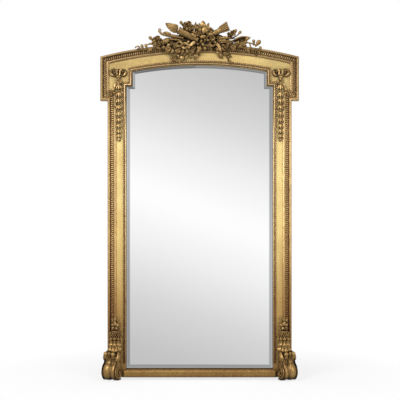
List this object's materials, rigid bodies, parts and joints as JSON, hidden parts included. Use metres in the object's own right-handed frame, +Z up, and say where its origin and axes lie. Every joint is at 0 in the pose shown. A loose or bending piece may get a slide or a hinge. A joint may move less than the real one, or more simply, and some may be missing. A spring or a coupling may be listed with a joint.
{
  "type": "giltwood mirror",
  "caption": "Tall wall mirror in a carved and gilded frame with an arched, shouldered head, trophy crest, beaded sight edge, bevelled plate and scroll feet.",
  "frame": {"origin": "middle of the bottom rail's back face, in the plane of the wall", "axes": "+Z up the mirror, +Y back into the wall (the plate faces -Y), +X to the viewer's right"},
  "size_m": [1.09, 0.1233, 1.9729],
  "materials": {
    "gilding": "carved pine with gesso, red bole and satin gold leaf, rubbed on the high points and dark in the hollows",
    "bare_pine": "bare aged pine",
    "silvered_plate": "silvered glass",
    "iron": "blackened iron",
    "screw_steel": "dull steel"
  },
  "bodies": {
    "frame": {"batten_screws": "screw_steel", "bottom_moulding": "gilding", "bottom_rail": "gilding", "brace_screws": "screw_steel", "centre_back_board": "bare_pine", "crest_arrows": "gilding", "crest_bouquet": "gilding", "crest_brace": "bare_pine", "crest_ground": "gilding", "crest_quiver": "gilding", "crest_ribbon": "gilding", "crest_rose": "gilding", "crest_torch": "gilding", "hanger_screws": "screw_steel", "head_bead_strip": "gilding", "head_leaf_strip": "gilding", "head_outer_band": "gilding", "head_rail": "gilding", "joint_pegs": "bare_pine", "left_back_board": "bare_pine", "left_bead_strip": "gilding", "left_bow": "gilding", "left_corner_block": "gilding", "left_flower_drop": "gilding", "left_foot_cup": "gilding", "left_foot_flowers": "gilding", "left_foot_leaf": "gilding", "left_foot_scroll": "gilding", "left_hanger_plate": "iron", "left_husk_drop": "gilding", "left_leaf_strip": "gilding", "left_outer_band": "gilding", "left_spray": "gilding", "left_stile": "gilding", "lower_batten": "bare_pine", "middle_batten": "bare_pine", "mirror_plate": "silvered_plate", "plate_blocks": "bare_pine", "right_back_board": "bare_pine", "right_bead_strip": "gilding", "right_bow": "gilding", "right_corner_block": "gilding", "right_flower_drop": "gilding", "right_foot_cup": "gilding", "right_foot_flowers": "gilding", "right_foot_leaf": "gilding", "right_foot_scroll": "gilding", "right_hanger_plate": "iron", "right_husk_drop": "gilding", "right_leaf_strip": "gilding", "right_outer_band": "gilding", "right_spray": "gilding", "right_stile": "gilding", "torch_flame": "gilding", "upper_batten": "bare_pine"},
    "left_hanger_ring": {"left_hanger_ring": "iron"},
    "right_hanger_ring": {"right_hanger_ring": "iron"}
  },
  "joints": [
    {"name": "left_ring_swing", "type": "hinge", "parent": "frame", "child": "left_hanger_ring", "pos_m": [-0.465, -0.0054, 1.44763], "axis": [1, 0, 0], "range_deg": [0, 180]},
    {"name": "right_ring_swing", "type": "hinge", "parent": "frame", "child": "right_hanger_ring", "pos_m": [0.465, -0.0054, 1.44763], "axis": [1, 0, 0], "range_deg": [0, 180]}
  ]
}
